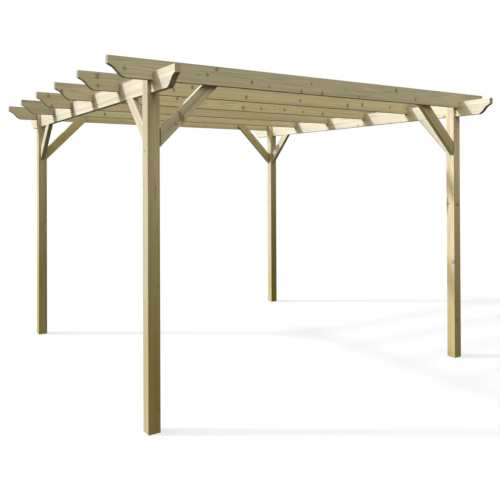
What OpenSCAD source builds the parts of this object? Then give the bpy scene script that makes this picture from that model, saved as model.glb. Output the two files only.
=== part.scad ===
// Wooden garden pergola, open at the sides and top.
// Four square posts carry two beams in slots cut down the middle of the post heads.
// Six rafters lie across the beams, notched over them, and eight braces stiffen the corners.
// Sizes are in millimetres. Ground is at zero height, the middle of the four posts is the origin.
// X runs along the rafters, Y runs along the beams, and the front is towards minus Y.

/* [Timber] */
// side of each square post
post_w = 95; // [80:1:140]
// thickness of the beams, rafters and braces
timber_t = 45; // [30:1:55]
// depth of the beams and rafters
timber_d = 145; // [125:5:170]
// depth of the braces, measured square across
brace_d = 95; // [60:1:110]
// radius of the eased long edges of every timber
ease = 3; // [1:0.5:6]

/* [Layout] */
// clear width between the posts along the rafters
clear_x = 3200; // [1800:50:4200]
// clear width between the posts along the beams
clear_y = 3200; // [1800:50:4200]
// height from the ground to the underside of the beams
headroom = 2440; // [1900:10:2700]
// length of rafter beyond the outer faces of the posts
rafter_over = 305; // [220:5:450]
// length of beam beyond the outer faces of the posts
beam_over = 405; // [270:5:600]

/* [Joints] */
// depth of the rafter notches that drop over the beams
notch_d = 60; // [20:1:75]
// play on each side of a notch or slot
joint_gap = 0.5; // [0.2:0.1:2]

/* [Braces] */
// drop from the underside of the beams to the foot of each brace
brace_drop = 384; // [300:2:600]
// width of the level cut under the foot of each brace
brace_nose = 8; // [3:1:20]
// height of the upright cut at the tip of a brace under a beam
beam_brace_tip = 8; // [3:1:20]
// height of the upright cut at the tip of a brace beside a rafter
rafter_brace_tip = 26; // [5:1:45]

/* [Shaped ends] */
// height of the square nose at each end of a beam or rafter
nose_h = 57; // [45:1:80]
// level flat under the nose
end_flat = 12; // [5:1:20]
// small step between the flat and the curve
end_step = 4; // [2:1:8]

/* [Hidden] */
$fn = 96;
over = 1;
// half distances between the post centres
half_x = (clear_x + post_w) / 2;
half_y = (clear_y + post_w) / 2;
// heights of the joints
post_h = headroom + timber_d;
rafter_z = post_h - notch_d;
// width cut in a post head or a rafter to take a beam
slot_w = timber_t + 2 * joint_gap;
// full lengths of the shaped timbers
rafter_len = clear_x + 2 * post_w + 2 * rafter_over;
beam_len = clear_y + 2 * post_w + 2 * beam_over;
// the first and last rafters lie against the outer faces of the posts
rafter_outer = half_y + post_w / 2 + timber_t / 2;
rafter_step = 2 * rafter_outer / 5;
// the end curve is a hollow arc and an equal round arc that meet at its middle
// where they meet both slope four down for three along
curve_h = timber_d - nose_h;
curve_r = (curve_h - end_step) / 0.7;
curve_len = 0.975 * curve_r;
mid_x = end_flat + curve_len / 2;
mid_z = (curve_h - end_step) / 2;
arc_x = 0.8 * curve_r;
arc_z = 0.6 * curve_r;
// braces stand at half a right angle
brace_foot = headroom - brace_drop;
brace_line = brace_foot - brace_nose;
brace_back = brace_line + brace_d * sqrt(2);
wood = [0.72, 0.65, 0.46];

// section of a planed timber with eased edges, centred
module planed(wide, deep) {
  translate([-wide / 2 + ease, -deep / 2])
    square([wide - 2 * ease, deep]);
  translate([-wide / 2, -deep / 2 + ease])
    square([wide, deep - 2 * ease]);
  for (side = [-1, 1], edge = [-1, 1])
    translate([side * (wide / 2 - ease), edge * (deep / 2 - ease)])
      circle(r = ease);
}

// a planed length along X, centred on the axis
module planed_length(length, deep) {
  translate([-length / 2, 0, 0])
    rotate([0, 90, 0])
      linear_extrude(height = length)
        planed(deep, timber_t);
}

// one post with the slot for its beam, standing on the ground
module post() {
  difference() {
    linear_extrude(height = post_h)
      planed(post_w, post_w);
    translate([-slot_w / 2, -post_w / 2 - over, headroom])
      cube([slot_w, post_w + 2 * over, timber_d + over]);
  }
}

// face of the wood cut away under a shaped end, measured inwards from the end
module end_waste() {
  translate([-over, -2 * over])
    square([end_flat + over, curve_h + 2 * over]);
  intersection() {
    translate([mid_x - arc_x, mid_z - arc_z])
      circle(r = curve_r);
    translate([end_flat, -2 * over])
      square([mid_x - end_flat, timber_d]);
  }
  difference() {
    translate([mid_x, -2 * over])
      square([arc_x, mid_z + 2 * over]);
    translate([mid_x + arc_x, mid_z + arc_z])
      circle(r = curve_r);
  }
}

// side face of a timber with both ends shaped, a little deeper than the timber
module shaped_face(length) {
  difference() {
    translate([-length / 2, -over])
      square([length, timber_d + 2 * over]);
    translate([-length / 2, 0])
      end_waste();
    translate([length / 2, 0])
      mirror([1, 0])
        end_waste();
  }
}

// a shaped timber along X, its underside at zero height
module shaped_timber(length) {
  intersection() {
    translate([0, timber_t / 2 + over, 0])
      rotate([90, 0, 0])
        linear_extrude(height = timber_t + 2 * over)
          shaped_face(length);
    translate([0, 0, timber_d / 2])
      planed_length(length + 2 * over, timber_d);
  }
}

// a beam along Y
module beam() {
  translate([0, 0, headroom])
    rotate([0, 0, 90])
      shaped_timber(beam_len);
}

// a rafter along X, notched over both beams
module rafter(place) {
  translate([0, (place - 1) * rafter_step - rafter_outer, rafter_z])
    difference() {
      shaped_timber(rafter_len);
      for (side = [-1, 1])
        translate([side * half_x - slot_w / 2, -timber_t / 2 - over, -over])
          cube([slot_w, timber_t + 2 * over, notch_d + over]);
    }
}

// a brace in the plane of X and Z, rising away from a post face at zero
module brace(top, tip) {
  intersection() {
    translate([0, 0, (brace_line + brace_back) / 2])
      rotate([0, -45, 0])
        planed_length(4 * (top - brace_foot), brace_d);
    translate([0, -timber_t / 2 - over, brace_foot])
      cube([top - tip - brace_line, timber_t + 2 * over, top - brace_foot]);
  }
}

// brace under a beam, front left corner
module beam_brace() {
  translate([-half_x, -clear_y / 2, 0])
    rotate([0, 0, 90])
      brace(headroom, beam_brace_tip);
}

// brace beside the first rafter, front left corner, flush with the front of the post
module rafter_brace() {
  translate([-clear_x / 2, timber_t / 2 - half_y - post_w / 2, 0])
    brace(post_h, rafter_brace_tip);
}

module post_front_left() {
  color(wood)
    translate([-half_x, -half_y, 0])
      post();
}

module post_front_right() {
  color(wood)
    translate([half_x, -half_y, 0])
      post();
}

module post_back_left() {
  color(wood)
    translate([-half_x, half_y, 0])
      post();
}

module post_back_right() {
  color(wood)
    translate([half_x, half_y, 0])
      post();
}

module beam_left() {
  color(wood)
    translate([-half_x, 0, 0])
      beam();
}

module beam_right() {
  color(wood)
    translate([half_x, 0, 0])
      beam();
}

module rafter_1() {
  color(wood)
    rafter(1);
}

module rafter_2() {
  color(wood)
    rafter(2);
}

module rafter_3() {
  color(wood)
    rafter(3);
}

module rafter_4() {
  color(wood)
    rafter(4);
}

module rafter_5() {
  color(wood)
    rafter(5);
}

module rafter_6() {
  color(wood)
    rafter(6);
}

module beam_brace_front_left() {
  color(wood)
    beam_brace();
}

module beam_brace_front_right() {
  color(wood)
    mirror([1, 0, 0])
      beam_brace();
}

module beam_brace_back_left() {
  color(wood)
    mirror([0, 1, 0])
      beam_brace();
}

module beam_brace_back_right() {
  color(wood)
    mirror([1, 0, 0])
      mirror([0, 1, 0])
        beam_brace();
}

module rafter_brace_front_left() {
  color(wood)
    rafter_brace();
}

module rafter_brace_front_right() {
  color(wood)
    mirror([1, 0, 0])
      rafter_brace();
}

module rafter_brace_back_left() {
  color(wood)
    mirror([0, 1, 0])
      rafter_brace();
}

module rafter_brace_back_right() {
  color(wood)
    mirror([1, 0, 0])
      mirror([0, 1, 0])
        rafter_brace();
}

post_front_left();
post_front_right();
post_back_left();
post_back_right();
beam_left();
beam_right();
rafter_1();
rafter_2();
rafter_3();
rafter_4();
rafter_5();
rafter_6();
beam_brace_front_left();
beam_brace_front_right();
beam_brace_back_left();
beam_brace_back_right();
rafter_brace_front_left();
rafter_brace_front_right();
rafter_brace_back_left();
rafter_brace_back_right();
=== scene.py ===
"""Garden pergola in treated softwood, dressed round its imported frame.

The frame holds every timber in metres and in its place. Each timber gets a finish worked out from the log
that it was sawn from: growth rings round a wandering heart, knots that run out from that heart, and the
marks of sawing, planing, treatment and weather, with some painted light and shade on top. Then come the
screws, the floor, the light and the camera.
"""

import logging
import math
from dataclasses import dataclass, field, replace
from enum import Enum
from typing import Any, ClassVar, Union

import bpy
import numpy as np
from mathutils import Euler, Matrix, Vector

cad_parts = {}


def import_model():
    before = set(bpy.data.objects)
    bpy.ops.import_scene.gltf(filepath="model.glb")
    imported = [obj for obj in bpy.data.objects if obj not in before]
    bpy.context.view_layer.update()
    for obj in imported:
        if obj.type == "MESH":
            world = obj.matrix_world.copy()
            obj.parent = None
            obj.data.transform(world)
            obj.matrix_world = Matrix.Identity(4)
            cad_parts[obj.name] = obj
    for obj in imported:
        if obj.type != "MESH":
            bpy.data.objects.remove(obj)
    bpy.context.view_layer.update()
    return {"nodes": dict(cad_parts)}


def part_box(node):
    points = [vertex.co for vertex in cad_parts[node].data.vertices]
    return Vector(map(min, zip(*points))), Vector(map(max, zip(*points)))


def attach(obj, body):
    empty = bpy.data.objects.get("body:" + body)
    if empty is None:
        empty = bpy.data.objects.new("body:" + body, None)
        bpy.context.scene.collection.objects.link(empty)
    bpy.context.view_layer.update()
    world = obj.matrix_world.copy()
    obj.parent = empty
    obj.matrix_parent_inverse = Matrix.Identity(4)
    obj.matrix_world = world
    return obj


LOG = logging.getLogger("pergola")
BODY = "root"
PHOTO_SIDE = 500
TINY = 1e-6
WHITE = (1.0, 1.0, 1.0, 1.0)
RIGHT = Vector((1.0, 0.0, 0.0)).freeze()
BACK = Vector((0.0, 1.0, 0.0)).freeze()
UP = Vector((0.0, 0.0, 1.0)).freeze()

Triple = tuple[float, float, float]
Span = tuple[float, float]
Term = Union["Value", float]
Colour = Union["Value", Triple]


def linear(red: int, green: int, blue: int) -> Triple:
    """Turns a screen colour into linear light, by the standard curve with its straight toe.

    Args:
        red: Red level from 0 to 255.
        green: Green level from 0 to 255.
        blue: Blue level from 0 to 255.

    Returns:
        The colour in the numbers that a shader takes.
    """
    level = np.array([red, green, blue]) / 255
    light = np.where(level <= 0.04045, level / 12.92, ((level + 0.055) / 1.055) ** 2.4)
    return tuple(light.tolist())


def middle(node: str) -> Vector:
    """The middle of a node's box."""
    low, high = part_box(node)
    return (low + high) / 2


def link_object(name: str, data: bpy.types.ID) -> bpy.types.Object:
    """Makes an object of a mesh, a lamp or a camera and puts it into the scene.

    Args:
        name: The object's name.
        data: What it shows.

    Returns:
        The object, at the origin.
    """
    made = bpy.data.objects.new(name, data)
    bpy.context.scene.collection.objects.link(made)
    return made


def grid_faces(rows: int, columns: int) -> np.ndarray:
    """Numbers the four corners of every cell of a grid of points.

    Args:
        rows: Points along the first parameter.
        columns: Points along the second parameter.

    Returns:
        Four point numbers a cell, turned so that the first parameter crossed with the second points outwards.
    """
    number = np.arange(rows * columns).reshape(rows, columns)
    corners = (number[:-1, :-1], number[1:, :-1], number[1:, 1:], number[:-1, 1:])
    return np.stack(corners, axis=-1).reshape(-1, 4)


class Value:
    """A socket whose number, vector or colour changes over a surface, with Python's operators on it."""

    def __init__(self, graph: "Graph", socket: bpy.types.NodeSocket) -> None:
        """Keeps the graph and the socket."""
        self.graph = graph
        self.socket = socket

    def __add__(self, other: Term) -> "Value":
        """This value and another, added."""
        return self.graph.math("ADD", self, other)

    __radd__ = __add__

    def __sub__(self, other: Term) -> "Value":
        """This value less another."""
        return self.graph.math("SUBTRACT", self, other)

    def __rsub__(self, other: Term) -> "Value":
        """A number less this value."""
        return self.graph.math("SUBTRACT", other, self)

    def __mul__(self, other: Term) -> "Value":
        """This value times another."""
        return self.graph.math("MULTIPLY", self, other)

    __rmul__ = __mul__

    def __truediv__(self, other: Term) -> "Value":
        """This value divided by another."""
        return self.graph.math("DIVIDE", self, other)

    def __rtruediv__(self, other: Term) -> "Value":
        """A number divided by this value."""
        return self.graph.math("DIVIDE", other, self)

    def __abs__(self) -> "Value":
        """This value without its sign."""
        return self.graph.math("ABSOLUTE", self)

    def floor(self) -> "Value":
        """The whole number below this value."""
        return self.graph.math("FLOOR", self)

    def root(self) -> "Value":
        """The square root of this value."""
        return self.graph.math("SQRT", self)

    def sine(self) -> "Value":
        """The sine of this value in radians."""
        return self.graph.math("SINE", self)

    def least(self, other: Term) -> "Value":
        """The smaller of this value and another."""
        return self.graph.math("MINIMUM", self, other)

    def most(self, other: Term) -> "Value":
        """The larger of this value and another."""
        return self.graph.math("MAXIMUM", self, other)

    def above(self, limit: Term) -> "Value":
        """One where this value passes a limit, and nought elsewhere."""
        return self.graph.math("GREATER_THAN", self, limit)

    def below(self, limit: Term) -> "Value":
        """One where this value is under a limit, and nought elsewhere."""
        return self.graph.math("LESS_THAN", self, limit)

    def rise(self, low: float, high: float) -> "Value":
        """Goes smoothly from nought at low to one at high, and falls where low is the larger."""
        sockets = {"Value": self, "From Min": low, "From Max": high}
        return self.graph.value("ShaderNodeMapRange", {"interpolation_type": "SMOOTHSTEP"}, sockets)


class Graph:
    """The node tree of one finish, filled by expressions."""

    # Places of the colour sockets on a Mix node
    MIX_COLOURS: ClassVar[tuple[int, int]] = (6, 7)
    MIX_RESULT: ClassVar[int] = 2

    def __init__(self, tree: bpy.types.NodeTree) -> None:
        """Empties the tree and keeps it."""
        self.tree = tree
        tree.nodes.clear()

    def node(self, kind: str, settings: dict[str, Any], sockets: dict[Any, Any]) -> bpy.types.Node:
        """Adds one node.

        Args:
            kind: The node's type name.
            settings: Its settings, which are set first.
            sockets: The numbers or links of its inputs, by name or place.

        Returns:
            The new node.
        """
        made = self.tree.nodes.new(kind)
        for key, setting in settings.items():
            setattr(made, key, setting)
        for key, content in sockets.items():
            if isinstance(content, Value):
                self.tree.links.new(content.socket, made.inputs[key])
            else:
                made.inputs[key].default_value = content
        return made

    def value(self, kind: str, settings: dict[str, Any], sockets: dict[Any, Any], output: Any = 0) -> Value:
        """Adds one node and wraps one of its outputs, by name or place."""
        return Value(self, self.node(kind, settings, sockets).outputs[output])

    def math(self, operation: str, *terms: Term) -> Value:
        """Adds a Math node on one or two terms."""
        return self.value("ShaderNodeMath", {"operation": operation}, dict(enumerate(terms)))

    def vector_math(self, operation: str, *terms: Any) -> Value:
        """Adds a Vector Math node that gives a vector."""
        return self.value("ShaderNodeVectorMath", {"operation": operation}, dict(enumerate(terms)))

    def reach(self, vector: Value, direction: Any) -> Value:
        """How far a vector reaches along a direction."""
        sockets = {0: vector, 1: direction}
        return self.value("ShaderNodeVectorMath", {"operation": "DOT_PRODUCT"}, sockets, "Value")

    def shade(self, colour: Colour, strength: Term) -> Value:
        """Makes a colour lighter or darker by a factor."""
        sockets = {0: colour, "Scale": strength}
        return self.value("ShaderNodeVectorMath", {"operation": "SCALE"}, sockets)

    def join(self, *terms: Term) -> Value:
        """Makes a vector of three values."""
        return self.value("ShaderNodeCombineXYZ", {}, dict(enumerate(terms)))

    def split(self, vector: Value) -> tuple[Value, Value, Value]:
        """Takes a vector apart into its three values."""
        made = self.node("ShaderNodeSeparateXYZ", {}, {0: vector})
        return tuple(Value(self, socket) for socket in made.outputs)

    def place(self) -> Value:
        """The point of the surface in the frame's measures."""
        return self.value("ShaderNodeTexCoord", {}, {}, "Object")

    def noise(self, vector: Value, detail: float = 2.0, rough: float = 0.5) -> Value:
        """Cloudy noise about nought, mostly within a quarter to each side."""
        sockets = {"Vector": vector, "Scale": 1.0, "Detail": detail, "Roughness": rough}
        return self.value("ShaderNodeTexNoise", {}, sockets) - 0.5

    def mix(self, share: Term, first: Colour, second: Colour) -> Value:
        """Goes from one colour to another.

        Args:
            share: How much of the second colour there is.
            first: A colour value, or three numbers.
            second: A colour value, or three numbers.

        Returns:
            The mixed colour.
        """
        ends = [end if isinstance(end, Value) else (*end, 1.0) for end in (first, second)]
        settings = {"data_type": "RGBA", "clamp_factor": True}
        sockets = {0: share, **dict(zip(self.MIX_COLOURS, ends))}
        return self.value("ShaderNodeMix", settings, sockets, self.MIX_RESULT)

    def relief(self, height: Value, strength: float, distance: float) -> Value:
        """The normal of a surface with a fine relief on it."""
        sockets = {"Strength": strength, "Distance": distance, "Height": height}
        return self.value("ShaderNodeBump", {}, sockets, "Normal")

    def surface(self, sockets: dict[str, Any]) -> None:
        """Ends the tree in one Principled shader."""
        shader = self.value("ShaderNodeBsdfPrincipled", {}, sockets)
        self.node("ShaderNodeOutputMaterial", {}, {"Surface": shader})


def new_material(name: str) -> tuple[bpy.types.Material, Graph]:
    """Makes an empty material.

    Args:
        name: The material's name.

    Returns:
        The material and the graph that fills it.
    """
    made = bpy.data.materials.new(name)
    made.use_nodes = True
    return made, Graph(made.node_tree)


class Cut(Enum):
    """How a timber was sawn: how far the log's heart lies from its middle, in shares of its two sides."""

    BOXED_HEART = (0.10, -0.08)
    BOXED_HEART_TURNED = (-0.14, 0.12)
    FLAT_SAWN = (0.10, -1.45)
    FLAT_SAWN_TURNED = (-0.16, 1.60)
    RIFT_SAWN = (0.58, -1.25)
    RIFT_SAWN_TURNED = (-0.62, 1.10)
    QUARTER_SAWN = (-0.92, 0.30)


class Across(Enum):
    """The measure of a timber's section that lies in the face where a knot shows."""

    DEPTH = "depth"
    THICKNESS = "thickness"


@dataclass(frozen=True)
class Noise:
    """A layer of noise: its number, cycles a metre along and across a timber, detail and roughness."""

    number: int
    along: float
    across: float
    detail: float = 2.0
    rough: float = 0.5


class Layer(Enum):
    """The layers of noise in a timber."""

    HEART_DEPTHWISE = Noise(1, 0.55, 0.0, 1.0)
    HEART_SIDEWAYS = Noise(2, 0.45, 0.0, 1.0)
    RAGGED = Noise(4, 60.0, 60.0)
    SWELL = Noise(5, 0.9, 9.0)
    WAVER = Noise(6, 5.0, 60.0)
    FIBRE = Noise(7, 14.0, 640.0, 3.0, 0.6)
    STREAK = Noise(8, 1.6, 85.0)
    CLOUD = Noise(9, 1.1, 5.0, 3.0)
    CRACK_LINE = Noise(10, 1.1, 36.0, 1.0)
    CRACK_PLACE = Noise(11, 0.6, 8.0, 1.0)
    TAIL = Noise(12, 3.0, 12.0)


@dataclass(frozen=True)
class Knot:
    """A knot that runs straight through a timber.

    Its place along and across the timber is measured from the timber's middle. Its radius lies along the
    timber, face says which way across is, and it is longer across than along by a factor.
    """

    along: float
    across: float
    radius: float
    face: Across = Across.DEPTH
    longer: float = 1.35


@dataclass(frozen=True)
class Joint:
    """A cut that butts on another timber: the direction away from that timber, and where the cut lies."""

    away: Triple
    start: float


@dataclass(frozen=True)
class Timber:
    """One sawn length: its own axes, its section, the log that it came from, and what it has been through.

    The tone is how light it is, and level says that it lies flat in the weather. Damp is the strength of the
    stain at its foot on the sides turned from the sun lamp and damp_lit on the lit ones; their difference is
    painted shade. Salts is the strength of the yellow salts of the treatment, and one more strength darkens
    its free ends with painted shade.
    """

    SEED_STEP: ClassVar[Triple] = (3.71, 2.17, 1.57)
    LAYER_STEP: ClassVar[Triple] = (1.93, -3.31, 2.77)

    node: str
    run: Vector
    deep: Vector
    middle: Vector
    depth: float
    thickness: float
    cut: Cut
    seed: int
    tone: float = 1.0
    level: bool = False
    damp: float = 0.0
    damp_lit: float = 0.0
    salts: float = 0.0
    tails: float = 0.0
    knots: tuple[Knot, ...] = ()
    joints: tuple[Joint, ...] = ()

    def axes(self) -> Matrix:
        """The timber's own axes as rows: along it, across its depth, and through its thickness."""
        return Matrix((self.run, self.deep, self.run.cross(self.deep)))

    def turn(self) -> Euler:
        """The turn from the timber's own axes to the frame's."""
        return self.axes().transposed().to_euler()

    def inside(self, point: Vector) -> Vector:
        """A point of the frame as the timber's own measures."""
        return self.axes() @ (point - self.middle)

    def shift(self, layer: int) -> Triple:
        """A fixed place in the noise for this timber and one layer of its finish."""
        steps = zip(self.SEED_STEP, self.LAYER_STEP)
        return tuple(by_seed * self.seed + by_layer * layer for by_seed, by_layer in steps)


@dataclass(frozen=True)
class Coat:
    """A colour that comes over the wood: its greatest share, and where it starts and is full."""

    colour: Triple
    share: float
    start: float
    full: float


@dataclass(frozen=True)
class TreatedPine:
    """Pressure-treated softwood, planed, with eased edges and a season of weather on it.

    Lengths are in metres. A coat or a span says where something starts and where it is full, round a knot in
    radii of that knot and for the late wood in parts of a year.
    """

    # Growth rings and the wood between the knots
    early: Triple = linear(222, 212, 178)
    late: Triple = linear(194, 173, 126)
    late_share: float = 0.8
    late_least: float = 0.45
    late_start: Span = (0.30, 0.90)
    late_stop: Span = (1.0, 0.93)
    ring: float = 0.0044
    ring_swell: float = 0.012
    ring_waver: float = 0.0014
    year_step: float = 7.0
    era_scale: Triple = (0.21, 5.3, 0.35)
    wander: float = 0.045
    heart: Coat = Coat(linear(210, 188, 142), 0.55, 0.055, 0.035)
    heart_swell: float = 0.02

    # Treatment and figure
    green: Coat = Coat(linear(185, 185, 141), 0.65, -0.12, 0.26)
    green_streak: float = 0.35
    salts: Triple = linear(204, 182, 104)
    figure: float = 1.0
    streak_figure: float = 0.42
    fibre_figure: float = 0.24
    cloud_figure: float = 0.34
    era_figure: float = 0.50
    # Painted shade on the free ends of the rafters beyond the beams, which also lose their salts tint there
    tail_shade: float = 0.21
    tail_ragged: float = 0.06
    tail_span: Span = (1.50, 1.68)

    # Knots
    whorl: float = 0.36
    girth: float = 0.95
    lean: float = 0.22
    knot_share: float = 0.15
    knot_scatter: float = 0.8
    knot_least: float = 0.004
    knot_more: float = 0.010
    knot_root: float = 0.3
    knot_taper: Span = (0.0, 0.05)
    knot_ragged: float = 0.5
    spot_ragged: float = 1.4
    border_fade: float = 3.0
    border_span: Span = (0.14, 0.02)
    knot_draw: float = 0.009
    knot_draw_span: Span = (3.4, 0.5)
    resin: Triple = linear(177, 155, 112)
    gum: Coat = Coat(resin, 0.50, 3.2, 0.7)
    knot: Coat = Coat(linear(152, 137, 101), 1.0, 1.45, 0.45)
    knot_fill: float = 0.775
    knot_rings: float = 0.125
    knot_turn: float = 9.0
    bark: Coat = Coat(linear(114, 102, 72), 0.60, 0.60, 0.98)
    bark_outside: Span = (1.40, 1.02)

    # Wear and weather, with painted light and shade
    dust: Coat = Coat(linear(228, 220, 196), 0.40, 0.0085, 0.002)
    dust_ragged: float = 0.008
    silver: Triple = linear(164, 161, 149)
    faded: Coat = Coat(silver, 0.55, -0.3, 0.2)
    fade_streak: float = 0.5
    fade_upward: Span = (0.5, 0.95)
    crest: Coat = Coat(silver, 0.5, -0.016, -0.001)
    crest_ragged: float = 0.05
    # Painted light and shade: the level direction towards the sun lamp, and how far a face must turn from it
    # to count as shaded
    lamp_side: Triple = (-0.83, 0.55, 0.0)
    turned_from_lamp_span: Span = (0.45, -0.2)
    moss: Triple = linear(155, 141, 55)
    damp_ragged: float = 0.25
    damp_span: Span = (1.0, -1.0)
    damp_lit_span: Span = (0.3, -1.2)
    damp_uneven: float = 0.8
    # Painted shade: a dark line where a brace butts on a post or beam, standing in for the shadow in the gap
    joint_shade: Coat = Coat(linear(70, 60, 42), 0.9, 0.0105, 0.0035)
    joint_shade_ragged: float = 0.006
    crack_shade: float = 0.65
    crack_span: Span = (0.009, 0.002)
    crack_place: Span = (0.11, 0.17)

    # Cut ends
    cut_end: Triple = linear(138, 134, 108)
    end_share: float = 0.40
    end_span: Span = (0.5, 0.9)
    end_early: float = 0.12
    end_late: float = 0.36
    # Painted light: paler grey on the cut ends that face the sun lamp
    end_lamp_light: float = 0.50

    # Relief and gloss
    ripple: float = 0.0065
    ripple_least: float = 0.25
    ripple_height: float = 0.06
    late_height: float = 0.35
    fibre_height: float = 0.55
    knot_height: float = 0.5
    knot_height_span: Span = (1.2, 0.8)
    crack_depth: float = 1.6
    relief: float = 0.55
    relief_height: float = 0.0006
    rough: float = 0.72
    fibre_rough: float = 0.25
    cloud_rough: float = 0.14
    late_gloss: float = 0.10
    knot_gloss: float = 0.12
    knot_gloss_span: Span = (1.1, 0.9)
    specular: float = 0.05

    def material(self, timber: Timber) -> bpy.types.Material:
        """Makes the finish of one timber.

        Args:
            timber: The timber.

        Returns:
            Its material.
        """
        made, graph = new_material(f"treated_pine_{timber.node}")
        grain = Grain(graph, self, timber)
        graph.surface({
            "Base Color": grain.paint(),
            "Roughness": grain.roughness(),
            "Normal": graph.relief(grain.height(), self.relief, self.relief_height),
            "Specular IOR Level": self.specular,
        })
        return made


class Grain:
    """The wood of one timber as its finish takes it, from its rings and knots to its colour and relief."""

    KNOT_LAYER: ClassVar[int] = 3
    FAR: ClassVar[float] = 40.0

    def __init__(self, graph: Graph, pine: TreatedPine, timber: Timber) -> None:
        """Works the wood out in the timber's own measures.

        Args:
            graph: The graph of the timber's finish.
            pine: The settings of that finish.
            timber: The timber.
        """
        self.graph = graph
        self.pine = pine
        self.timber = timber
        self.colour: Colour = pine.early
        sockets = {"Vector": graph.place(), "Location": timber.middle, "Rotation": timber.turn()}
        self.local = graph.value("ShaderNodeMapping", {"vector_type": "TEXTURE"}, sockets)
        self.along, self.across, self.through = graph.split(self.local)
        self.swell = self.noise(Layer.SWELL)
        self.fibre = self.noise(Layer.FIBRE)
        self.streak = self.noise(Layer.STREAK)
        self.cloud = self.noise(Layer.CLOUD)
        normal = graph.value("ShaderNodeNewGeometry", {}, {}, "Normal")
        self.upward = graph.split(normal)[2]
        self.end = abs(graph.reach(normal, timber.run)).rise(*pine.end_span)
        # Painted light and shade: how far a face turns from the sun lamp; these faces get a stronger stain,
        # and the others paler ends
        self.turned_from_lamp = graph.reach(normal, pine.lamp_side).rise(*pine.turned_from_lamp_span)
        # Painted shade on the free ends beyond the beams
        tail = abs(self.along) + pine.tail_ragged * self.noise(Layer.TAIL)
        self.tail = timber.tails * tail.rise(*pine.tail_span)
        self.deep, self.wide = self.from_heart()
        self.radius = (self.deep * self.deep + self.wide * self.wide).root()
        self.near = self.knots()
        self.late, era = self.rings()
        figure = pine.streak_figure * self.streak + pine.fibre_figure * self.fibre
        self.figured = 1.0 + pine.figure * (figure + pine.cloud_figure * self.cloud + pine.era_figure * era)
        self.crack = self.cracks()

    def noise(self, layer: Layer) -> Value:
        """Adds one layer of noise, stretched along the timber.

        Args:
            layer: The layer.

        Returns:
            Its noise about nought.
        """
        kind = layer.value
        scale = (kind.along, kind.across, kind.across)
        place = self.graph.vector_math("MULTIPLY_ADD", self.local, scale, self.timber.shift(kind.number))
        return self.graph.noise(place, kind.detail, kind.rough)

    def from_heart(self) -> tuple[Value, Value]:
        """Measures the section from the heart of the log, which wanders along the timber.

        Returns:
            The distances from the heart across the depth and through the thickness.
        """
        deep_share, wide_share = self.timber.cut.value
        deep = self.across - deep_share * self.timber.depth
        wide = self.through - wide_share * self.timber.thickness
        deep = deep - self.pine.wander * self.noise(Layer.HEART_DEPTHWISE)
        wide = wide - self.pine.wander * self.noise(Layer.HEART_SIDEWAYS)
        return deep, wide

    def knots(self) -> Value:
        """Finds the nearest knot, of those that grew out of the heart and those that the timber lists.

        Returns:
            The distance in radii of the knot: nought in its middle and one at its edge.
        """
        ragged = self.noise(Layer.RAGGED)
        near = self.branch_knots(ragged)
        for knot in self.timber.knots:
            across = self.across if knot.face is Across.DEPTH else self.through
            run = self.along - knot.along
            step = (across - knot.across) / knot.longer
            radius = knot.radius * (1.0 + self.pine.spot_ragged * ragged)
            near = near.least((run * run + step * step).root() / radius)
        return near

    def branch_knots(self, ragged: Value) -> Value:
        """Finds the nearest knot that grew out of the heart.

        Such a knot is a slim cone that starts at the heart and leans up the log. Its direction and its place
        along the log are those of the nearest scattered point on a drum round the heart, and only some of
        these points bear a knot.

        Args:
            ragged: The noise in a knot's outline.

        Returns:
            The distance in radii of the knot, and far more where there is none.
        """
        graph, pine, deep, wide = self.graph, self.pine, self.deep, self.wide
        round_heart = pine.girth / (deep * deep + wide * wide + TINY).root()
        drum = graph.join(self.along / pine.whorl, deep * round_heart, wide * round_heart)
        shift = self.timber.shift(self.KNOT_LAYER)
        place = graph.vector_math("ADD", drum, shift)
        sockets = {"Vector": place, "Scale": 1.0, "Randomness": pine.knot_scatter}
        cells = graph.node("ShaderNodeTexVoronoi", {"feature": "F1"}, sockets)
        border = graph.value("ShaderNodeTexVoronoi", {"feature": "DISTANCE_TO_EDGE"}, sockets)
        chance, size, _ = graph.split(Value(graph, cells.outputs["Color"]))
        seat = graph.vector_math("SUBTRACT", Value(graph, cells.outputs["Position"]), shift)
        seat_along, seat_deep, seat_wide = graph.split(seat)
        seat_radius = (seat_deep * seat_deep + seat_wide * seat_wide + TINY).root()
        out = (deep * seat_deep + wide * seat_wide) / seat_radius
        side = (deep * seat_wide - wide * seat_deep) / seat_radius
        along = self.along - seat_along * pine.whorl - out * pine.lean
        taper = pine.knot_root + (1.0 - pine.knot_root) * out.rise(*pine.knot_taper)
        girth = (pine.knot_least + pine.knot_more * size * size) * taper * (1.0 + pine.knot_ragged * ragged)
        near = (along * along + side * side).root() / girth
        bare = chance.above(pine.knot_share) + out.below(0.0)
        return near + self.FAR * bare + pine.border_fade * border.rise(*pine.border_span)

    def rings(self) -> tuple[Value, Value]:
        """Counts the years outwards from the heart, on rings that noise and knots push aside.

        Returns:
            How much late wood there is, and slow noise that runs from one stretch of years to the next.
        """
        graph, pine, seed = self.graph, self.pine, self.timber.seed
        pushed = pine.ring_swell * self.swell + pine.ring_waver * self.noise(Layer.WAVER)
        drawn = pine.knot_draw * self.near.rise(*pine.knot_draw_span)
        years = (self.radius + pushed - drawn) / pine.ring
        year = years.floor()
        season = years - year
        sockets = {"W": year + pine.year_step * seed}
        strength = graph.value("ShaderNodeTexWhiteNoise", {"noise_dimensions": "1D"}, sockets)
        by_year, by_seed, by_length = pine.era_scale
        era = graph.noise(graph.join(by_year * years, by_seed * seed, by_length * self.along), 1.0)
        grown = season.rise(*pine.late_start) * season.rise(*pine.late_stop)
        return grown * (pine.late_least + (1.0 - pine.late_least) * strength), era

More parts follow.
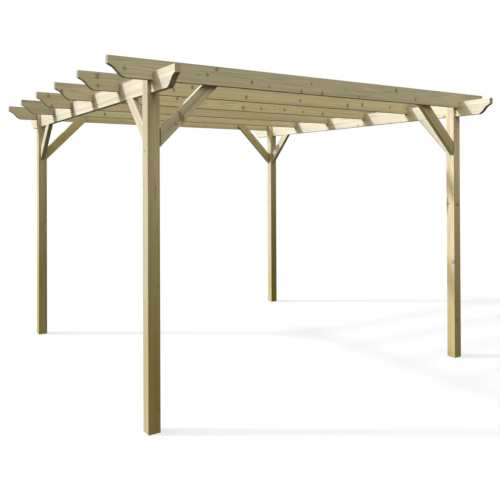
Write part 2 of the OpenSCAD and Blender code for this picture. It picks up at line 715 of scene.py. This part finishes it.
    def cracks(self) -> Value:
        """Drying checks along the grain: thin lines where one noise is near nought and another is high."""
        line = abs(self.noise(Layer.CRACK_LINE)).rise(*self.pine.crack_span)
        return line * self.noise(Layer.CRACK_PLACE).rise(*self.pine.crack_place) * (1.0 - self.end)

    def cover(self, share: Term, colour: Colour) -> None:
        """Mixes a share of a colour over the wood."""
        self.colour = self.graph.mix(share, self.colour, colour)

    def lay(self, coat: Coat, by: Value, within: Term = 1.0) -> None:
        """Lays a coat that grows with a value, within a part of the wood."""
        self.cover(by.rise(coat.start, coat.full) * (coat.share * within), coat.colour)

    def paint(self) -> Value:
        """Colours the wood, from the clear wood out to what lies on it.

        Returns:
            The colour.
        """
        self.paint_wood()
        self.paint_knots()
        self.paint_weather()
        self.paint_ends()
        if self.timber.damp:
            self.paint_damp_and_side_shade()
        # Painted shade: a dark line along each joint where a brace butts on another timber
        for joint in self.timber.joints:
            beyond = self.graph.reach(self.local, joint.away) - joint.start
            self.lay(self.pine.joint_shade, beyond + self.pine.joint_shade_ragged * self.streak)
        return self.graph.shade(self.colour, 1.0 - self.pine.crack_shade * self.crack)

    def paint_wood(self) -> None:
        """Colours the wood between the knots: its rings, its heart, the treatment, its figure, and painted
        shade on the free ends.
        """
        pine, timber = self.pine, self.timber
        self.cover(pine.late_share * self.late, pine.late)
        self.lay(pine.heart, self.radius + pine.heart_swell * self.swell)
        self.lay(pine.green, self.cloud + pine.green_streak * self.streak)
        if timber.salts:
            self.cover(timber.salts * (1.0 - self.tail), pine.salts)
        tone = timber.tone * (1.0 - pine.tail_shade * self.tail)
        self.colour = self.graph.shade(self.colour, tone * self.figured)

    def paint_knots(self) -> None:
        """Colours the knots: gum round them, their own rings, and dark bark at their edges."""
        pine, near = self.pine, self.near
        self.lay(pine.gum, near)
        self.lay(pine.knot, near, pine.knot_fill + pine.knot_rings * (near * pine.knot_turn).sine())
        self.lay(pine.bark, near, near.rise(*pine.bark_outside))

    def paint_weather(self) -> None:
        """Adds pale rubbed edges, silver-grey tops, and a grey crest along a timber that lies level."""
        pine, timber = self.pine, self.timber
        edge = (timber.depth + timber.thickness) / 2 - abs(self.across) - abs(self.through)
        self.lay(pine.dust, edge + pine.dust_ragged * self.streak)
        self.lay(pine.faded, self.cloud + pine.fade_streak * self.streak, self.upward.rise(*pine.fade_upward))
        if timber.level:
            height = self.across - timber.depth / 2 + pine.crest_ragged * self.cloud
            self.lay(pine.crest, height, 1.0 - self.end)

    def paint_ends(self) -> None:
        """Colours the wood that is cut across: stronger rings, a darker ground, and painted light that makes
        ends turned to the sun lamp paler grey.
        """
        pine, end = self.pine, self.end
        self.cover(end * (pine.end_early + pine.end_late * self.late), pine.resin)
        self.cover(pine.end_share * end, pine.cut_end)
        # Painted light: ends turned to the sun lamp are made paler grey
        self.cover(pine.end_lamp_light * end * (1.0 - self.turned_from_lamp), pine.silver)

    def paint_damp_and_side_shade(self) -> None:
        """Adds the green stain that rises from a foot, higher and stronger on the sides turned from the sun
        lamp, which is painted shade.
        """
        pine, timber = self.pine, self.timber
        height = self.along + pine.damp_ragged * self.cloud
        lit = timber.damp_lit * height.rise(*pine.damp_lit_span)
        # The stain is real; its being stronger on the sides turned from the sun lamp is painted shade
        stain = lit + (timber.damp * height.rise(*pine.damp_span) - lit) * self.turned_from_lamp
        uneven = 1.0 + pine.damp_uneven * (self.streak + self.cloud)
        self.cover(stain * uneven, self.graph.shade(pine.moss, self.figured))

    def height(self) -> Value:
        """Works out the relief: raised late wood, fibres, knots and planing ripple, and sunken cracks.

        Returns:
            The height of the relief.
        """
        pine = self.pine
        wave = (self.along * (2.0 * math.pi / pine.ripple)).sine() * (self.cloud + pine.ripple_least)
        raised = pine.late_height * self.late + pine.fibre_height * self.fibre + pine.ripple_height * wave
        knots = pine.knot_height * self.near.rise(*pine.knot_height_span)
        return raised + knots - pine.crack_depth * self.crack

    def roughness(self) -> Value:
        """Works out the roughness: more on fibres and cloudy patches, less on late wood and knots.

        Returns:
            The roughness.
        """
        pine = self.pine
        rough = pine.rough + pine.fibre_rough * self.fibre + pine.cloud_rough * self.cloud
        return rough - pine.late_gloss * self.late - pine.knot_gloss * self.near.rise(*pine.knot_gloss_span)


class TimberSet:
    """A sub-assembly of timbers that share a finish."""

    finish: TreatedPine

    def timbers(self) -> list[Timber]:
        """The timbers of this sub-assembly."""
        raise NotImplementedError

    def dress(self, nodes: dict[str, bpy.types.Object]) -> None:
        """Puts its own finish on each timber.

        Args:
            nodes: The frame's objects by node name.
        """
        for timber in self.timbers():
            piece = nodes[timber.node]
            piece.data.materials.clear()
            piece.data.materials.append(self.finish.material(timber))
            LOG.info("%s dressed, %d faces", timber.node, len(piece.data.polygons))


def post_pine() -> TreatedPine:
    """Makes the finish of the posts, which are browner and bolder in figure than the boards.

    Returns:
        The finish.
    """
    return TreatedPine(
        early=linear(222, 206, 167),
        late=linear(188, 164, 115),
        heart=replace(TreatedPine.heart, colour=linear(206, 181, 133)),
        green=replace(TreatedPine.green, colour=linear(182, 172, 119)),
        whorl=0.30,
        knot_share=0.16,
        figure=1.3,
    )


def brace_pine() -> TreatedPine:
    """The finish of the braces, which are bold in figure and have few knots."""
    return TreatedPine(whorl=0.26, knot_share=0.10, figure=1.7)


@dataclass
class Posts(TimberSet):
    """Four square posts with the heart of the log boxed inside."""

    side: float = 0.095
    finish: TreatedPine = field(default_factory=post_pine)

    def timbers(self) -> list[Timber]:
        """Lists the posts.

        Returns:
            The posts, front ones first.
        """
        heart, turned = Cut.BOXED_HEART, Cut.BOXED_HEART_TURNED
        near_knots = (Knot(0.730, 0.010, 0.006, Across.THICKNESS), Knot(-0.245, 0.045, 0.008))
        return [
            self.post("front_left", heart, 1, tone=0.91, damp=0.70, damp_lit=0.44, knots=near_knots),
            self.post("front_right", turned, 2, tone=1.18, damp=0.66, damp_lit=0.60),
            self.post("back_left", turned, 3, tone=1.10, damp=0.68, damp_lit=0.75),
            self.post("back_right", heart, 4, tone=1.06, damp=0.92, damp_lit=0.20),
        ]

    def post(self, corner: str, cut: Cut, seed: int, **looks: Any) -> Timber:
        """One post, upright, with its depth along the rafters."""
        name = f"post_{corner}"
        return Timber(name, UP, RIGHT, middle(name), self.side, self.side, cut, seed, **looks)


@dataclass
class Boards(TimberSet):
    """Boards that lie level on edge and run one way."""

    RUN: ClassVar[Vector]

    depth: float = 0.145
    thickness: float = 0.045
    finish: TreatedPine = field(default_factory=TreatedPine)

    def board(self, name: str, cut: Cut, seed: int, **looks: Any) -> Timber:
        """One board, with its depth upright."""
        size = (self.depth, self.thickness)
        return Timber(name, self.RUN, UP, middle(name), *size, cut, seed, level=True, **looks)


@dataclass
class Beams(Boards):
    """Two beams that lie in the slots of the post heads."""

    RUN: ClassVar[Vector] = BACK

    def timbers(self) -> list[Timber]:
        """Lists the beams.

        Returns:
            The left beam and the right one.
        """
        right_knots = (
            Knot(-1.560, -0.070, 0.012, longer=1.0),
            Knot(-0.255, -0.060, 0.008),
            Knot(-0.345, -0.060, 0.008),
        )
        return [
            self.board("beam_left", Cut.RIFT_SAWN, 5, tone=1.03),
            self.board("beam_right", Cut.RIFT_SAWN_TURNED, 6, tone=1.05, knots=right_knots),
        ]


@dataclass
class Rafters(Boards):
    """Six rafters that drop over the beams, with shaped ends."""

    RUN: ClassVar[Vector] = RIGHT
    COUNT: ClassVar[int] = 6

    def timbers(self) -> list[Timber]:
        """Lists the rafters, with the knots that show on their fronts.

        Returns:
            The rafters from the front to the back.
        """
        first = (
            Knot(-1.880, -0.010, 0.007),
            Knot(-1.235, 0.005, 0.007),
            Knot(-1.155, 0.055, 0.010),
            Knot(-0.840, -0.020, 0.007),
            Knot(-0.675, -0.040, 0.006),
            Knot(-0.355, -0.060, 0.009),
            Knot(-0.250, 0.015, 0.006),
            Knot(-0.135, -0.060, 0.009),
            Knot(0.285, -0.065, 0.006),
            Knot(0.745, 0.030, 0.010),
            Knot(1.000, -0.030, 0.008),
            Knot(1.675, -0.020, 0.006),
        )
        second = (
            Knot(-1.845, 0.040, 0.011),
            Knot(-1.845, -0.035, 0.008),
            Knot(-1.015, 0.015, 0.008),
            Knot(-0.465, -0.035, 0.009),
            Knot(0.150, -0.025, 0.008),
            Knot(0.755, -0.035, 0.010),
            Knot(1.360, -0.015, 0.008),
        )
        third = (
            Knot(-1.945, 0.000, 0.008),
            Knot(-0.835, 0.010, 0.008),
            Knot(-0.080, -0.040, 0.010),
            Knot(0.145, -0.035, 0.008),
            Knot(0.450, -0.030, 0.009),
            Knot(0.985, -0.045, 0.010),
        )
        fourth = (Knot(-1.890, 0.040, 0.009), Knot(-1.860, -0.060, 0.007))
        fifth = (Knot(-1.095, -0.035, 0.008),)
        # The higher tones and yellow salts of rafters 2 to 6 are partly their own tint and partly painted
        # light, standing in for light bounced between the rafters; their tails darken with painted shade
        return [
            self.board("rafter_1", Cut.FLAT_SAWN, 7, tone=1.02, knots=first),
            self.board("rafter_2", Cut.RIFT_SAWN, 8, tone=1.17, salts=0.15, tails=1.2, knots=second),
            self.board("rafter_3", Cut.FLAT_SAWN_TURNED, 9, tone=1.19, salts=0.18, tails=0.9, knots=third),
            self.board("rafter_4", Cut.QUARTER_SAWN, 10, tone=1.14, salts=0.14, tails=0.5, knots=fourth),
            self.board("rafter_5", Cut.FLAT_SAWN, 11, tone=1.27, salts=0.18, tails=1.6, knots=fifth),
            self.board("rafter_6", Cut.RIFT_SAWN_TURNED, 12, tone=1.18, salts=0.18, tails=0.6),
        ]


@dataclass
class Braces(TimberSet):
    """Eight braces at half a right angle, four under the beams and four beside the outer rafters."""

    CUTS: ClassVar[tuple[Cut, ...]] = (Cut.FLAT_SAWN, Cut.RIFT_SAWN, Cut.QUARTER_SAWN, Cut.FLAT_SAWN_TURNED)
    FIRST_SEED: ClassVar[int] = 13

    depth: float = 0.095
    thickness: float = 0.045
    nose: float = 0.008
    tone: float = 0.99
    beam_salts: float = 0.12
    rafter_salts: float = 0.4
    finish: TreatedPine = field(default_factory=brace_pine)

    def timbers(self) -> list[Timber]:
        """Lists the braces, with what sets the two at the front beside the first rafter apart.

        Returns:
            The braces under the beams and then those beside the rafters, corner by corner.
        """
        near_knots = (
            Knot(-0.085, 0.010, 0.009, longer=2.4),
            Knot(-0.095, -0.010, 0.010, longer=2.4),
            Knot(-0.110, -0.030, 0.010, longer=2.4),
            Knot(-0.165, -0.010, 0.006),
        )
        own_looks = {
            "rafter_brace_front_left": {"tone": 0.92, "salts": 0.0, "knots": near_knots},
            "rafter_brace_front_right": {"tone": 0.90},
        }
        made = []
        rows = (("beam_brace", BACK, self.beam_salts), ("rafter_brace", RIGHT, self.rafter_salts))
        for row, (kind, lie, salts) in enumerate(rows):
            for end, back in (("front", -1.0), ("back", 1.0)):
                for side, right in (("left", -1.0), ("right", 1.0)):
                    name = f"{kind}_{end}_{side}"
                    inward = lie * -lie.dot(Vector((right, back, 0.0)))
                    cut = self.CUTS[(len(made) + row) % len(self.CUTS)]
                    looks = {"tone": self.tone, "salts": salts, **own_looks.get(name, {})}
                    made.append(self.brace(name, inward, cut, self.FIRST_SEED + len(made), **looks))
        return made

    def brace(self, name: str, inward: Vector, cut: Cut, seed: int, **looks: Any) -> Timber:
        """Places one brace, from the corner of its foot up along its own line.

        Args:
            name: The node's name.
            inward: Level direction from the post towards the middle of the pergola.
            cut: How it was sawn.
            seed: Its place in the noise.
            looks: Its tone, salts and knots.

        Returns:
            The brace as a timber, measured from half way up its line.
        """
        low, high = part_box(name)
        centre = (low + high) / 2
        reach = abs((high - low).dot(inward))
        foot = centre - inward * reach / 2 + UP * (low.z - centre.z)
        run = (inward + UP).normalized()
        deep = (UP - inward).normalized()
        half = math.hypot(reach, high.z - low.z) / 2
        axis = foot + inward * self.nose + deep * self.depth / 2
        timber = Timber(name, run, deep, axis + run * half, self.depth, self.thickness, cut, seed, **looks)
        away = timber.axes() @ inward
        return replace(timber, joints=(Joint(tuple(away), away.dot(timber.inside(foot))),))


@dataclass(frozen=True)
class CoatedSteel:
    """Screw steel under a dull brown-green coat that has rubbed through on its high spots.

    Scales are in cycles a metre. A pair gives a value where the coat is whole and where it is rubbed off.
    """

    coat: Triple = linear(104, 100, 78)
    bare: Triple = linear(168, 166, 158)
    blotch_scale: Triple = (420.0, 420.0, 420.0)
    blotch_shift: Triple = (3.0, 5.0, 7.0)
    blotch_detail: float = 3.0
    scratch_scale: Triple = (2600.0, 700.0, 1500.0)
    scratch_shift: Triple = (1.0, 2.0, 4.0)
    scratch_share: float = 0.6
    rubbed_span: Span = (0.02, 0.22)
    metallic: Span = (0.35, 0.95)
    rough: Span = (0.55, 0.35)
    scratch_rough: float = 0.2
    coat_height: float = 0.5
    relief: float = 0.3
    relief_height: float = 0.0002

    def material(self) -> bpy.types.Material:
        """Makes the finish: a coat that thins in fine scratches and small blotches.

        Returns:
            The material.
        """
        made, graph = new_material("coated_steel")
        place = graph.place()
        spots = graph.vector_math("MULTIPLY_ADD", place, self.blotch_scale, self.blotch_shift)
        lines = graph.vector_math("MULTIPLY_ADD", place, self.scratch_scale, self.scratch_shift)
        blotch = graph.noise(spots, self.blotch_detail)
        scratch = graph.noise(lines)
        rubbed = (blotch + self.scratch_share * scratch).rise(*self.rubbed_span)
        whole_metal, bare_metal = self.metallic
        whole_rough, bare_rough = self.rough
        graph.surface({
            "Base Color": graph.mix(rubbed, self.coat, self.bare),
            "Metallic": whole_metal + (bare_metal - whole_metal) * rubbed,
            "Roughness": whole_rough + (bare_rough - whole_rough) * rubbed + self.scratch_rough * scratch,
            "Normal": graph.relief(scratch - self.coat_height * rubbed, self.relief, self.relief_height),
        })
        return made


@dataclass
class Screws:
    """Countersunk screws: one through each rafter into each beam, and others through the braces.

    Lengths are in metres, and heights and depths are measured from the wood. Steps are measured along a brace
    from its foot and its top, and level from the upper corner of the tip of a brace beside a rafter.
    """

    STEEP: ClassVar[float] = 0.9

    # Head
    head: float = 0.0047
    rim: float = 0.0004
    ease: float = 0.0001
    crown: float = 0.0002
    crown_inner: float = 0.0029
    crown_border: float = 0.0005
    crown_lobes: float = 0.1

    # Recess
    recess: float = 0.0021
    recess_floor: float = 0.0011
    recess_foot: float = 0.0016
    recess_wall: float = 0.0018
    recess_lip: float = 0.0020
    lip_lobes: float = 0.8
    lobes: int = 6
    lobe_depth: float = 0.17

    # Shank
    countersink: float = 0.0034
    collar: float = 0.0002
    shank: float = 0.0021
    shank_start: float = 0.0040
    length: float = 0.026
    taper: float = 0.004
    blunt: float = 0.001
    blunt_share: float = 0.3

    # Turning and places
    sides: int = 36
    turn_step: float = 0.7
    foot_step: float = 0.070
    top_step: float = 0.060
    tip_drop: float = 0.030
    tip_steps: tuple[float, ...] = (0.036, 0.092)
    finish: CoatedSteel = field(default_factory=CoatedSteel)

    def seats(self, braces: Braces) -> list[tuple[Vector, Vector]]:
        """Finds where each screw head lies flush, and which way it faces.

        Args:
            braces: The braces, for their places and sizes.

        Returns:
            A point on the wood and the direction out of it, for every screw.
        """
        found = []
        for place in range(1, Rafters.COUNT + 1):
            low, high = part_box(f"rafter_{place}")
            for beam in ("beam_left", "beam_right"):
                found.append((Vector((middle(beam).x, (low.y + high.y) / 2, high.z)), UP))
        for timber in braces.timbers():
            found += self.brace_seats(timber)
        return found

    def brace_seats(self, timber: Timber) -> list[tuple[Vector, Vector]]:
        """Finds the screws of one brace: one in its foot, and one or two in its top.

        Args:
            timber: The brace.

        Returns:
            A point on the wood and the direction out of it, for every screw.
        """
        low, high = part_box(timber.node)
        under = timber.middle - timber.deep * timber.depth / 2
        start = under + timber.run * ((low.z - under.z) / timber.run.z)
        found = [(start + timber.run * self.foot_step, -timber.deep)]
        if timber.node.startswith("beam"):
            end = start + timber.run * ((high.z - low.z) / timber.run.z)
            found.append((end - timber.run * self.top_step, -timber.deep))
        else:
            inward = (timber.run - timber.deep).normalized()
            face = BACK * -math.copysign(1.0, timber.middle.y)
            rise = high.z - self.tip_drop - low.z
            corner = start + inward * rise + UP * rise + face * timber.thickness / 2
            found += [(corner - inward * step, face) for step in self.tip_steps]
        return found

    def outline(self) -> np.ndarray:
        """Draws the screw's outline from the floor of its recess out over the head and down to its tip.

        Returns:
            Rows of radius, height over the wood, and how far the lobes of the recess shape that row.
        """
        return np.array([
            (0.0, -self.recess, 0.0),
            (self.recess_floor, -self.recess, 1.0),
            (self.recess_foot, self.ease - self.recess, 1.0),
            (self.recess_wall, -self.rim, 1.0),
            (self.recess_lip, 0.0, self.lip_lobes),
            (self.crown_inner, self.crown, self.crown_lobes),
            (self.head - self.crown_border, self.crown, 0.0),
            (self.head - self.ease, 0.0, 0.0),
            (self.head, -self.rim, 0.0),
            (self.shank + self.collar, -self.countersink, 0.0),
            (self.shank, -self.shank_start, 0.0),
            (self.shank, self.taper - self.length, 0.0),
            (self.blunt_share * self.shank, self.blunt - self.length, 0.0),
            (0.0, -self.length, 0.0),
        ])

    def shape(self) -> tuple[np.ndarray, tuple[np.ndarray, ...]]:
        """Turns the outline round the screw's axis.

        The radius at a height is the outline's radius, drawn in and out round the axis by the lobes of the
        recess. The two ends of the outline are single points.

        Returns:
            The points of one screw, and its faces in three groups: the wall, the recess floor and the tip.
        """
        rows = self.outline()
        turn = np.linspace(0.0, 2.0 * np.pi, self.sides, endpoint=False)
        wave = self.lobe_depth * np.cos(self.lobes * turn)
        radius = rows[1:-1, 0:1] * (1.0 + rows[1:-1, 2:3] * wave)
        height = np.broadcast_to(rows[1:-1, 1:2], radius.shape)
        wall = np.stack([radius * np.cos(turn), radius * np.sin(turn), height], axis=-1).reshape(-1, 3)
        points = np.concatenate([wall, [[0.0, 0.0, rows[0, 1]], [0.0, 0.0, rows[-1, 1]]]])
        number = np.arange(len(wall)).reshape(-1, self.sides)
        beside = np.roll(number, -1, axis=1)
        walls = np.stack([number[:-1], number[1:], beside[1:], beside[:-1]], axis=-1).reshape(-1, 4)
        first = np.stack([np.full(self.sides, len(wall)), number[0], beside[0]], axis=-1)
        last = np.stack([number[-1], np.full(self.sides, len(wall) + 1), beside[-1]], axis=-1)
        return points, (walls, first, last)

    def axes(self, out: np.ndarray) -> np.ndarray:
        """Gives each screw its axes: the third points out of the wood, and each is turned one step more.

        Args:
            out: The direction out of the wood for every screw.

        Returns:
            Three axes for every screw.
        """
        spin = self.turn_step * np.arange(len(out))[:, None]
        flat = np.cross(out, np.where(np.abs(out[:, 2:]) > self.STEEP, RIGHT, UP))
        flat /= np.linalg.norm(flat, axis=1, keepdims=True)
        level = np.cos(spin) * flat + np.sin(spin) * np.cross(out, flat)
        return np.stack([level, np.cross(out, level), out], axis=1)

    def build(self, braces: Braces) -> bpy.types.Object:
        """Sets a copy of the screw on every seat: each point is the seat plus the point along its axes.

        Args:
            braces: The braces, for their places and sizes.

        Returns:
            One piece that holds all the screws.
        """
        seats = self.seats(braces)
        seat = np.array([point for point, _ in seats])[:, None]
        axes = self.axes(np.array([out for _, out in seats]))
        shape, parts = self.shape()
        points = seat + np.einsum("pk,nkd->npd", shape, axes)
        start = (np.arange(len(seats)) * len(shape))[:, None, None]
        faces = []
        for part in parts:
            faces += (part[None] + start).reshape(-1, part.shape[1]).tolist()
        mesh = bpy.data.meshes.new("screws")
        mesh.from_pydata(points.reshape(-1, 3).tolist(), [], faces)
        mesh.materials.append(self.finish.material())
        piece = link_object("screws", mesh)
        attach(piece, BODY)
        LOG.info("screws built, %d screws, %d faces", len(seats), len(faces))
        return piece


@dataclass
class Studio:
    """A pale floor under soft daylight, seen from standing height with a nearly level shift camera.

    Lengths are in metres and angles in radians, and the focal length and the centre are in pixels of the
    picture.
    """

    floor_reach: float = 60.0
    floor_level: float = -0.0005
    floor_points: int = 9
    floor_pale: Triple = (0.74, 0.74, 0.73)
    floor_paler: Triple = (0.76, 0.76, 0.75)
    floor_mottle: Triple = (0.8, 0.8, 0.8)
    floor_detail: float = 3.0
    floor_white: float = 0.70
    floor_bounce: Triple = (0.034, 0.028, 0.008)
    sun_place: Triple = (0.0, 0.0, 8.0)
    sun_travel: Triple = (0.66, -0.44, -0.61)
    core_colour: Triple = (0.87, 0.97, 1.50)
    core_strength: float = 3.0
    core_spread: float = math.radians(4.0)
    glow_colour: Triple = (1.03, 0.97, 0.85)
    glow_strength: float = 2.4
    glow_spread: float = math.radians(50.0)
    sky: Triple = (0.99, 0.98, 0.93)
    sky_strength: float = 0.38
    box_colour: Triple = (0.985, 0.965, 0.86)
    box_power: float = 205.0
    box_place: Triple = (-1.5, -6.9, 7.2)
    box_aim: Triple = (0.0, -1.6, 2.0)
    box_side: float = 5.0
    eye: Triple = (-3.34935, -5.69773, 1.82961)
    heading: float = 0.57441
    tilt: float = 0.00629
    roll: float = -0.0043
    focal: float = 598.23
    centre: tuple[float, float] = (257.99, 173.79)
    sensor: float = 36.0
    farthest: float = 300.0

    def lay_floor(self) -> bpy.types.Object:
        """Lays the floor as a level sheet whose two parameters are the two level axes.

        Returns:
            The floor.
        """
        side = np.linspace(-self.floor_reach, self.floor_reach, self.floor_points)
        x, y = np.meshgrid(side, side, indexing="ij")
        points = np.stack([x, y, np.full_like(x, self.floor_level)], axis=-1).reshape(-1, 3)
        mesh = bpy.data.meshes.new("floor")
        mesh.from_pydata(points.tolist(), [], grid_faces(self.floor_points, self.floor_points).tolist())
        mesh.materials.append(self.floor_finish())
        floor = link_object("floor", mesh)
        return floor

    def floor_finish(self) -> bpy.types.Material:
        """Makes a floor that is white to the eye, keeps a pale shadow, and throws little light back up.

        Returns:
            The material.
        """
        made, graph = new_material("pale_floor")
        place = graph.vector_math("MULTIPLY", graph.place(), self.floor_mottle)
        mottle = graph.noise(place, self.floor_detail)
        pale = graph.mix(0.5 + mottle, self.floor_pale, self.floor_paler)
        sockets = {"Base Color": pale, "Roughness": 1.0, "Specular IOR Level": 0.0}
        matt = graph.value("ShaderNodeBsdfPrincipled", {}, sockets)
        glow = graph.value("ShaderNodeEmission", {}, {"Color": WHITE, "Strength": 1.0})
        white = graph.value("ShaderNodeMixShader", {}, {0: self.floor_white, 1: matt, 2: glow})
        dull = graph.value("ShaderNodeBsdfDiffuse", {}, {"Color": (*self.floor_bounce, 1.0)})
        shown = graph.value("ShaderNodeMixShader", {}, {0: self.seen(graph), 1: dull, 2: white})
        graph.node("ShaderNodeOutputMaterial", {}, {"Surface": shown})
        return made

    def seen(self, graph: Graph) -> Value:
        """Tells rays that show the background, straight on, in a gloss or through glass, from other rays.

        Args:
            graph: The graph of the floor or the sky.

        Returns:
            One for a ray that shows the background, and nought for one that only brings light.
        """
        path = graph.node("ShaderNodeLightPath", {}, {})
        names = ("Is Camera Ray", "Is Glossy Ray", "Is Transmission Ray")
        camera, glossy, through = (Value(graph, path.outputs[name]) for name in names)
        return camera.most(glossy).most(through)

    def light(self) -> None:
        """Sets a hazy sun with a broad glow round it, a soft box in front, and an even white sky."""
        suns = (
            ("core", self.core_colour, self.core_strength, self.core_spread),
            ("glow", self.glow_colour, self.glow_strength, self.glow_spread),
        )
        for name, colour, strength, spread in suns:
            lamp = bpy.data.lights.new(name, "SUN")
            lamp.color = colour
            lamp.energy = strength
            lamp.angle = spread
            self.hang(lamp, Vector(self.sun_place), Vector(self.sun_travel))
        lamp = bpy.data.lights.new("soft_box", "AREA")
        lamp.color = self.box_colour
        lamp.energy = self.box_power
        lamp.size = self.box_side
        self.hang(lamp, Vector(self.box_place), Vector(self.box_aim) - Vector(self.box_place))
        self.raise_sky()

    def raise_sky(self) -> None:
        """Makes the world an even dome of soft light that shows as plain white."""
        world = bpy.data.worlds.new("sky")
        world.use_nodes = True
        bpy.context.scene.world = world
        graph = Graph(world.node_tree)
        sockets = {"Color": (*self.sky, 1.0), "Strength": self.sky_strength}
        dome = graph.value("ShaderNodeBackground", {}, sockets)
        white = graph.value("ShaderNodeBackground", {}, {"Color": WHITE, "Strength": 1.0})
        mixed = graph.value("ShaderNodeMixShader", {}, {0: self.seen(graph), 1: dome, 2: white})
        graph.node("ShaderNodeOutputWorld", {}, {"Surface": mixed})

    def hang(self, lamp: bpy.types.Light, place: Vector, aim: Vector) -> None:
        """Puts a lamp in its place, turned to shine along a direction and left out of the picture.

        Args:
            lamp: The lamp.
            place: Where it hangs.
            aim: The direction in which it shines.
        """
        held = link_object(lamp.name, lamp)
        held.location = place
        held.rotation_euler = aim.to_track_quat("-Z", "Y").to_euler()
        held.visible_camera = False

    def set_camera(self) -> None:
        """Stands the camera in its place, turned to the right, its picture moved by the lens shift."""
        sine, cosine = math.sin(self.heading), math.cos(self.heading)
        ahead = Vector((sine * math.cos(self.tilt), cosine * math.cos(self.tilt), math.sin(self.tilt)))
        level = Vector((cosine, -sine, 0.0))
        above = level.cross(ahead)
        right = math.cos(self.roll) * level + math.sin(self.roll) * above
        up = math.cos(self.roll) * above - math.sin(self.roll) * level
        lens = bpy.data.cameras.new("camera")
        lens.sensor_width = self.sensor
        lens.lens = self.sensor * self.focal / PHOTO_SIDE
        lens.shift_x = 0.5 - self.centre[0] / PHOTO_SIDE
        lens.shift_y = self.centre[1] / PHOTO_SIDE - 0.5
        lens.clip_end = self.farthest
        camera = link_object("camera", lens)
        camera.matrix_world = Matrix.Translation(self.eye) @ Matrix((right, up, -ahead)).transposed().to_4x4()
        bpy.context.scene.camera = camera
        bpy.context.scene.view_settings.view_transform = "Standard"


def main() -> None:
    """Loads the frame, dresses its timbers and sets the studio."""
    logging.basicConfig(level=logging.INFO, format="%(name)s: %(message)s")
    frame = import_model()
    braces = Braces()
    for timber_set in (Posts(), Beams(), Rafters(), braces):
        timber_set.dress(frame["nodes"])
    Screws().build(braces)
    studio = Studio()
    studio.lay_floor()
    studio.light()
    studio.set_camera()


if __name__ == "__main__":
    main()
